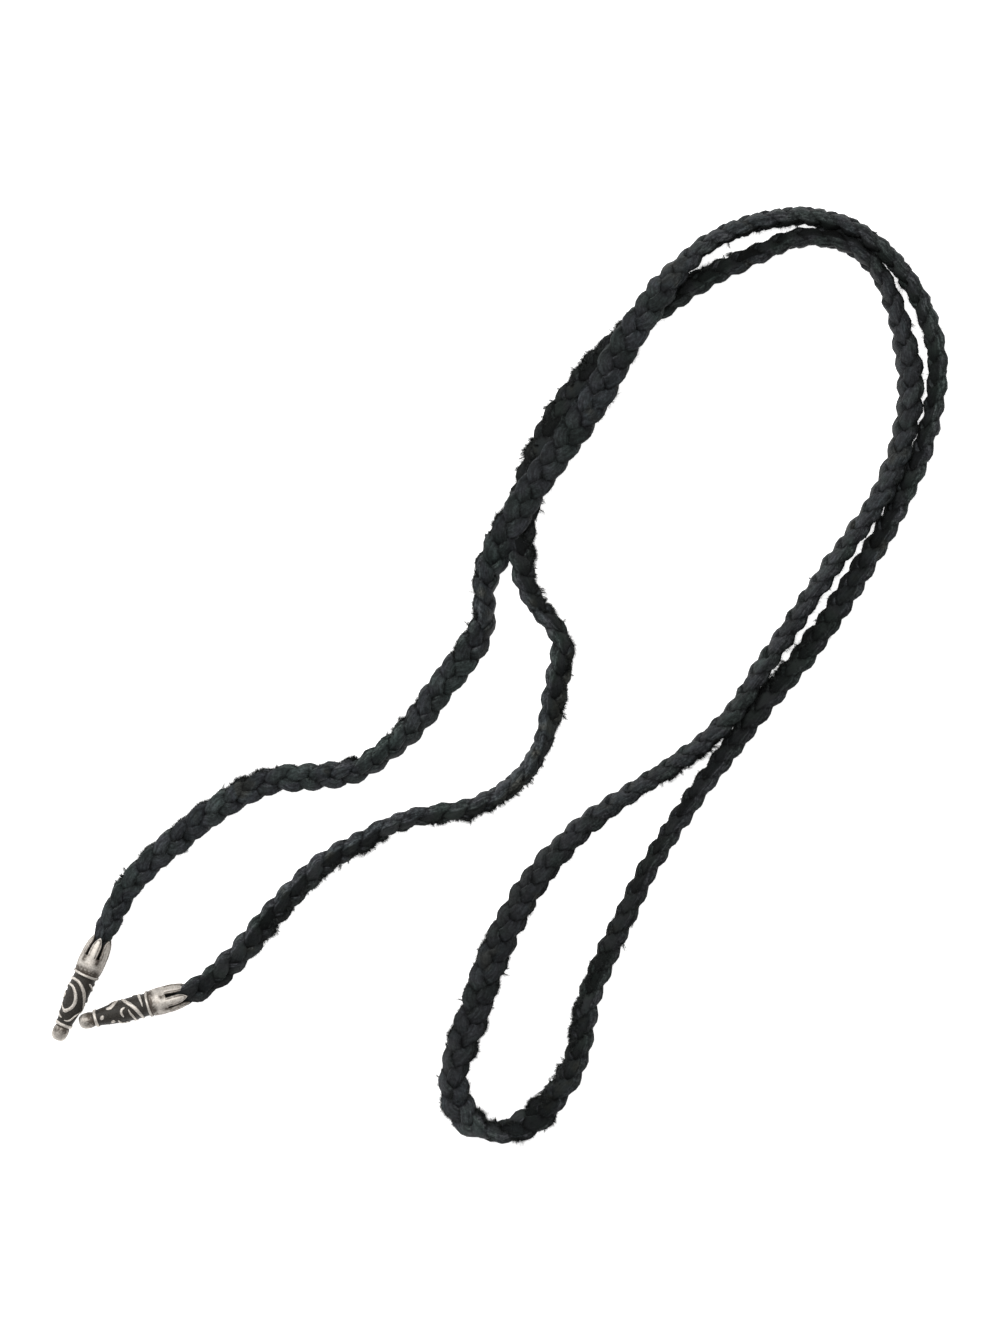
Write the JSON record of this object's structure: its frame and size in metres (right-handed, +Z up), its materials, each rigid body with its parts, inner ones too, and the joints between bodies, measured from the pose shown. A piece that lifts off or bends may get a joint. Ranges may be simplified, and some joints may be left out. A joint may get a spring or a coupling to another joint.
{
  "type": "braided leather necklace with metal end caps",
  "caption": "Long flat-braided black leather necklace cord with an ornamented silver cap on each free end, laid folded in half.",
  "frame": {"origin": "on the surface that the necklace lies on, under the middle of its laid-out box", "axes": "+Z up from the surface; +Y from the fold towards the top of the big loop; +X to the right, away from the two end caps"},
  "size_m": [0.1786, 0.1862, 0.0085],
  "materials": {
    "black_leather": "matt, grain one side and suede the other",
    "oxidised_silver": "cast silver, polished high points and blackened recesses"
  },
  "bodies": {
    "root": {"braided_cord": "black_leather", "end_cap_left": "oxidised_silver", "end_cap_right": "oxidised_silver"}
  },
  "joints": []
}
